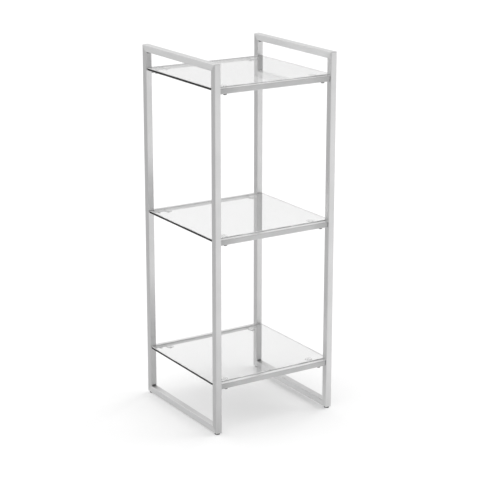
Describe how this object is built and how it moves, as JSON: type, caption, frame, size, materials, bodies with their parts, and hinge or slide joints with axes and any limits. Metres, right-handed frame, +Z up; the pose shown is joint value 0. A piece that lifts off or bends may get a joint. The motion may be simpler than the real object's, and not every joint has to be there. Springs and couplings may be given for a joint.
{
  "type": "bathroom shelf",
  "caption": "Slim free-standing tower shelf: two welded square-tube side frames joined by screwed cross rails that carry loose clear glass panels on pads; the frame tops serve as handles.",
  "frame": {"origin": "on the floor under the middle of the shelf", "axes": "+Z up, +X from the left side frame to the right side frame, the front faces -Y"},
  "size_m": [0.3, 0.3, 0.8],
  "materials": {
    "satin_steel": "satin, finely brushed along the tube",
    "screw_steel": "plain zinc-plated",
    "clear_glass": "clear and polished, with ground edges",
    "clear_plastic": "clear, moulded and slightly soft",
    "dark_plastic": "matt moulded"
  },
  "bodies": {
    "frame": {"left_front_post": "satin_steel", "left_back_post": "satin_steel", "left_top_rail": "satin_steel", "left_bottom_rail": "satin_steel", "right_front_post": "satin_steel", "right_back_post": "satin_steel", "right_top_rail": "satin_steel", "right_bottom_rail": "satin_steel", "left_front_glide": "dark_plastic", "left_back_glide": "dark_plastic", "right_front_glide": "dark_plastic", "right_back_glide": "dark_plastic", "low_front_rail": "satin_steel", "low_back_rail": "satin_steel", "mid_front_rail": "satin_steel", "mid_back_rail": "satin_steel", "top_front_rail": "satin_steel", "top_back_rail": "satin_steel", "low_front_left_spigot": "satin_steel", "low_front_right_spigot": "satin_steel", "low_back_left_spigot": "satin_steel", "low_back_right_spigot": "satin_steel", "mid_front_left_spigot": "satin_steel", "mid_front_right_spigot": "satin_steel", "mid_back_left_spigot": "satin_steel", "mid_back_right_spigot": "satin_steel", "top_front_left_spigot": "satin_steel", "top_front_right_spigot": "satin_steel", "top_back_left_spigot": "satin_steel", "top_back_right_spigot": "satin_steel", "low_front_left_screw": "screw_steel", "low_front_right_screw": "screw_steel", "low_back_left_screw": "screw_steel", "low_back_right_screw": "screw_steel", "mid_front_left_screw": "screw_steel", "mid_front_right_screw": "screw_steel", "mid_back_left_screw": "screw_steel", "mid_back_right_screw": "screw_steel", "top_front_left_screw": "screw_steel", "top_front_right_screw": "screw_steel", "top_back_left_screw": "screw_steel", "top_back_right_screw": "screw_steel", "low_front_left_pad": "clear_plastic", "low_front_right_pad": "clear_plastic", "low_back_left_pad": "clear_plastic", "low_back_right_pad": "clear_plastic", "mid_front_left_pad": "clear_plastic", "mid_front_right_pad": "clear_plastic", "mid_back_left_pad": "clear_plastic", "mid_back_right_pad": "clear_plastic", "top_front_left_pad": "clear_plastic", "top_front_right_pad": "clear_plastic", "top_back_left_pad": "clear_plastic", "top_back_right_pad": "clear_plastic"},
    "low_panel": {"low_glass": "clear_glass"},
    "mid_panel": {"mid_glass": "clear_glass"},
    "top_panel": {"top_glass": "clear_glass"}
  },
  "joints": [
    {"name": "low_panel_lift", "type": "slide", "parent": "frame", "child": "low_panel", "axis": [0, 0, 1], "range_m": [0, 0.03]},
    {"name": "mid_panel_lift", "type": "slide", "parent": "frame", "child": "mid_panel", "axis": [0, 0, 1], "range_m": [0, 0.03]},
    {"name": "top_panel_lift", "type": "slide", "parent": "frame", "child": "top_panel", "axis": [0, 0, 1], "range_m": [0, 0.03]}
  ]
}
